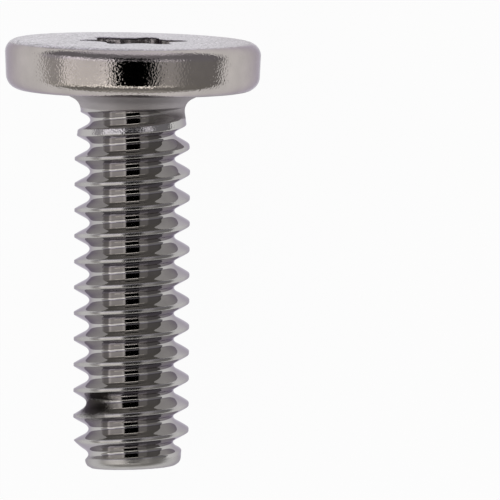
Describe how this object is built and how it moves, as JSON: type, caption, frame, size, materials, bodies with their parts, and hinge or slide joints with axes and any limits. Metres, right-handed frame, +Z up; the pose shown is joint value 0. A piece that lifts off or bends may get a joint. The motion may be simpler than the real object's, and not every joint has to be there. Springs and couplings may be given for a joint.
{
  "type": "flat head micro screw",
  "caption": "Small metric machine screw with a low flat-topped round head, a six-lobe recess in the drive face and a rolled thread up to a plain filleted neck.",
  "frame": {"origin": "on the surface that the screw lies on, under the middle of its box", "axes": "+Y along the screw towards its head, +Z up, +X across; the axis of the thread climbs 10.7 degrees towards the head"},
  "size_m": [0.0034, 0.006, 0.0035],
  "materials": {
    "screw_steel": "bright rolled stainless steel, with a grained satin drive face"
  },
  "bodies": {
    "root": {"screw": "screw_steel"}
  },
  "joints": []
}
